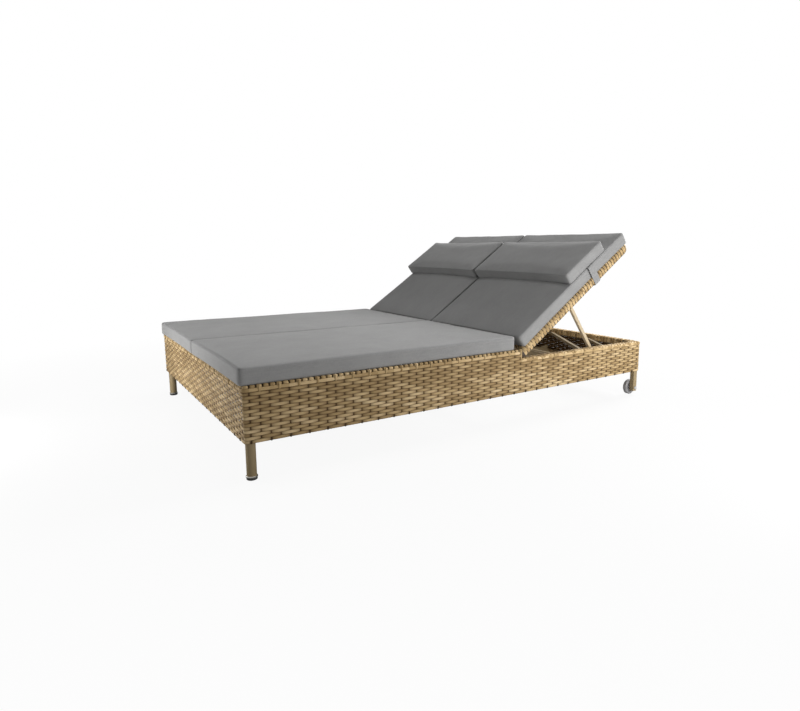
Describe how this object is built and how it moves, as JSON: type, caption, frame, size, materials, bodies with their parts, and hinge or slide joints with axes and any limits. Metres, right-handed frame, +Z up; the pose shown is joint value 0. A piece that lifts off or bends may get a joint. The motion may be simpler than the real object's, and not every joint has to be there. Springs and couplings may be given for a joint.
{
  "type": "double chaise lounger",
  "caption": "Low woven double chaise lounger with side-by-side reclining backs on notched props, loose grey cushions, strapped head pillows and rear wheels.",
  "frame": {"origin": "on the floor, under the middle of the whole lounger", "axes": "+X across the lounger to the sitter's left as they lie facing the foot end, +Y from the foot end to the head end, +Z up"},
  "size_m": [1.4, 2.0296, 0.8204],
  "materials": {
    "wicker": "woven flat resin strands in honey and tan, satin",
    "back_wicker": "woven flat resin strands, satin",
    "wrapped_rail": "tube wrapped closely in flat resin strand, satin",
    "frame_paint": "bronze-brown powder coat, satin",
    "leg_paint": "dark bronze powder coat, satin",
    "bright_steel": "plain zinc-plated steel",
    "glide_metal": "bright turned ring",
    "glide_pad": "black moulded pad",
    "wheel_plastic": "black moulded wheel",
    "cushion_fabric": "grey heathered outdoor canvas",
    "pillow_fabric": "grey heathered outdoor canvas",
    "strap_fabric": "grey woven band"
  },
  "bodies": {
    "base": {"base_cross_rails": "frame_paint", "base_rail_left": "frame_paint", "base_rail_right": "frame_paint", "corner_braces": "frame_paint", "foot_glides": "glide_metal", "foot_pads": "glide_pad", "foot_skirt": "wicker", "front_leg_left": "leg_paint", "front_leg_right": "leg_paint", "head_rail_end": "frame_paint", "head_rail_left": "frame_paint", "head_rail_right": "frame_paint", "head_skirt_end": "wicker", "head_skirt_left": "wicker", "head_skirt_right": "wicker", "hinge_lugs": "frame_paint", "hinge_pins": "bright_steel", "rack_bars_left": "frame_paint", "rack_bars_right": "frame_paint", "rack_rails": "frame_paint", "rear_leg_left": "leg_paint", "rear_leg_right": "leg_paint", "seat_crossbars": "frame_paint", "seat_cushion_left": "cushion_fabric", "seat_cushion_right": "cushion_fabric", "seat_deck": "wicker", "seat_rail_foot": "frame_paint", "seat_rail_left": "frame_paint", "seat_rail_rear": "frame_paint", "seat_rail_right": "frame_paint", "seat_skirt_left": "wicker", "seat_skirt_right": "wicker", "step_posts": "frame_paint", "wheel_axles": "bright_steel"},
    "back_right": {"back_crossbars_right": "frame_paint", "back_cushion_right": "cushion_fabric", "back_deck_right": "back_wicker", "back_rail_bottom_right": "wrapped_rail", "back_rail_inner_right": "wrapped_rail", "back_rail_outer_right": "wrapped_rail", "back_rail_top_right": "wrapped_rail", "prop_pins_right": "bright_steel"},
    "prop_right": {"prop_legs_right": "frame_paint", "prop_foot_right": "frame_paint"},
    "pillow_right": {"pillow_right": "pillow_fabric", "pillow_strap_right": "strap_fabric"},
    "wheel_right": {"wheel_right": "wheel_plastic"},
    "back_left": {"back_crossbars_left": "frame_paint", "back_cushion_left": "cushion_fabric", "back_deck_left": "back_wicker", "back_rail_bottom_left": "wrapped_rail", "back_rail_inner_left": "wrapped_rail", "back_rail_outer_left": "wrapped_rail", "back_rail_top_left": "wrapped_rail", "prop_pins_left": "bright_steel"},
    "prop_left": {"prop_legs_left": "frame_paint", "prop_foot_left": "frame_paint"},
    "pillow_left": {"pillow_left": "pillow_fabric", "pillow_strap_left": "strap_fabric"},
    "wheel_left": {"wheel_left": "wheel_plastic"}
  },
  "joints": [
    {"name": "recline_right", "type": "hinge", "parent": "base", "child": "back_right", "pos_m": [0, 0.20125, 0.303], "axis": [1, 0, 0], "range_deg": [-34.5, 12]},
    {"name": "prop_swing_right", "type": "hinge", "parent": "back_right", "child": "prop_right", "pos_m": [0, 0.50937, 0.50263], "axis": [1, 0, 0], "range_deg": [-26, 74]},
    {"name": "pillow_slide_right", "type": "slide", "parent": "back_right", "child": "pillow_right", "axis": [0, 0.8241, 0.5664], "range_m": [-0.06, 0.12]},
    {"name": "wheel_spin_right", "type": "hinge", "parent": "base", "child": "wheel_right", "pos_m": [0.656, 0.97675, 0.038], "axis": [1, 0, 0], "continuous": true},
    {"name": "recline_left", "type": "hinge", "parent": "base", "child": "back_left", "pos_m": [0, 0.20125, 0.303], "axis": [1, 0, 0], "range_deg": [-34.5, 12]},
    {"name": "prop_swing_left", "type": "hinge", "parent": "back_left", "child": "prop_left", "pos_m": [0, 0.50937, 0.50263], "axis": [1, 0, 0], "range_deg": [-26, 74]},
    {"name": "pillow_slide_left", "type": "slide", "parent": "back_left", "child": "pillow_left", "axis": [0, 0.8241, 0.5664], "range_m": [-0.06, 0.12]},
    {"name": "wheel_spin_left", "type": "hinge", "parent": "base", "child": "wheel_left", "pos_m": [-0.656, 0.97675, 0.038], "axis": [1, 0, 0], "continuous": true}
  ],
  "couplings": [
    {"joint": "prop_swing_right", "follows": "recline_right", "ratio": -2.1348},
    {"joint": "prop_swing_left", "follows": "recline_left", "ratio": -2.1348}
  ]
}
